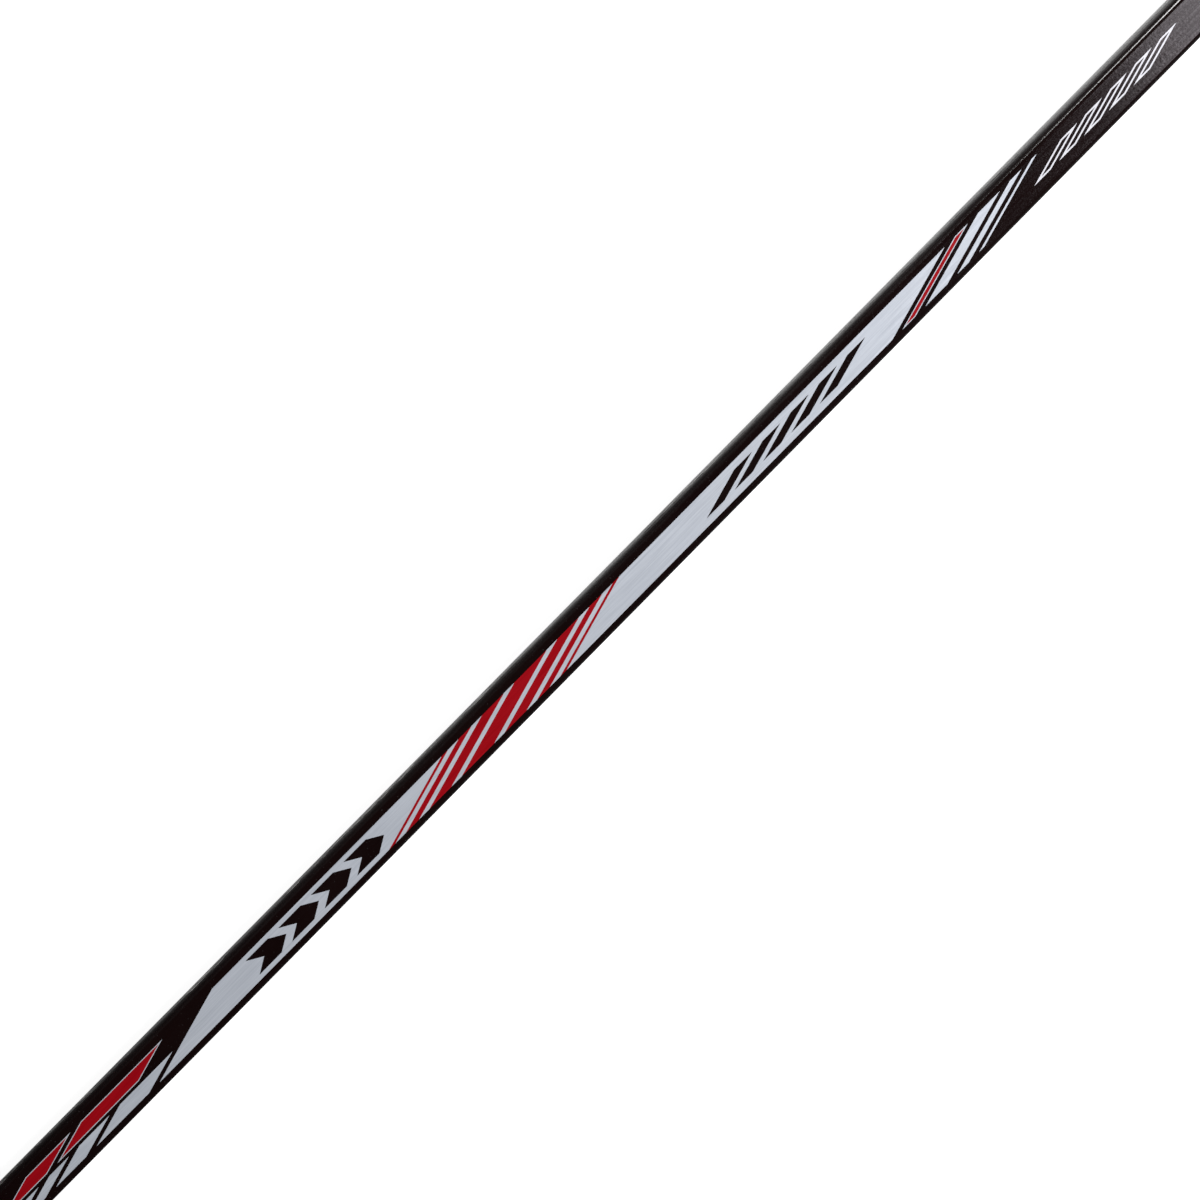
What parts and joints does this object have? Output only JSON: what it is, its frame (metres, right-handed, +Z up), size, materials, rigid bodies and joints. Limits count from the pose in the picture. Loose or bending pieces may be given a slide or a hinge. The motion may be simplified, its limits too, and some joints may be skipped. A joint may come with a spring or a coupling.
{
  "type": "ringette stick",
  "caption": "Straight laminated stick of rectangular section with a grooved tapering tip boot, a taped grip and a rubber butt cap, striped in silver and red on black.",
  "frame": {"origin": "middle of the stick's length and width, on the surface that the tip boot's rim and the butt cap rest on when the stick lies on its back face", "axes": "+X along the shaft from the tip to the butt, +Y across the broad faces, +Z up out of the front face"},
  "size_m": [1.34, 0.031, 0.023],
  "materials": {
    "aspen": "bare sawn",
    "lacquered_birch": "glossy black lacquer",
    "lacquered_fibreglass": "glossy black lacquer",
    "silver_foil": "brushed silver film under clear lacquer",
    "red_foil": "red film under clear lacquer",
    "white_foil": "white film under clear lacquer",
    "nylon": "satin moulded",
    "screw_steel": "zinc plated",
    "rubber": "moulded matte",
    "cloth_tape": "woven cotton"
  },
  "bodies": {
    "root": {"core_strip_centre": "aspen", "core_strip_left": "aspen", "core_strip_right": "aspen", "edge_strip_left": "lacquered_birch", "edge_strip_right": "lacquered_birch", "front_birch_ply": "lacquered_birch", "back_birch_ply": "lacquered_birch", "front_glass_sheet": "lacquered_fibreglass", "back_glass_sheet": "lacquered_fibreglass", "front_silver_foil": "silver_foil", "back_silver_foil": "silver_foil", "front_red_foil": "red_foil", "back_red_foil": "red_foil", "front_white_foil": "white_foil", "back_white_foil": "white_foil", "tip_boot": "nylon", "tip_screws": "screw_steel", "butt_cap": "rubber", "grip_tape": "cloth_tape"}
  },
  "joints": []
}
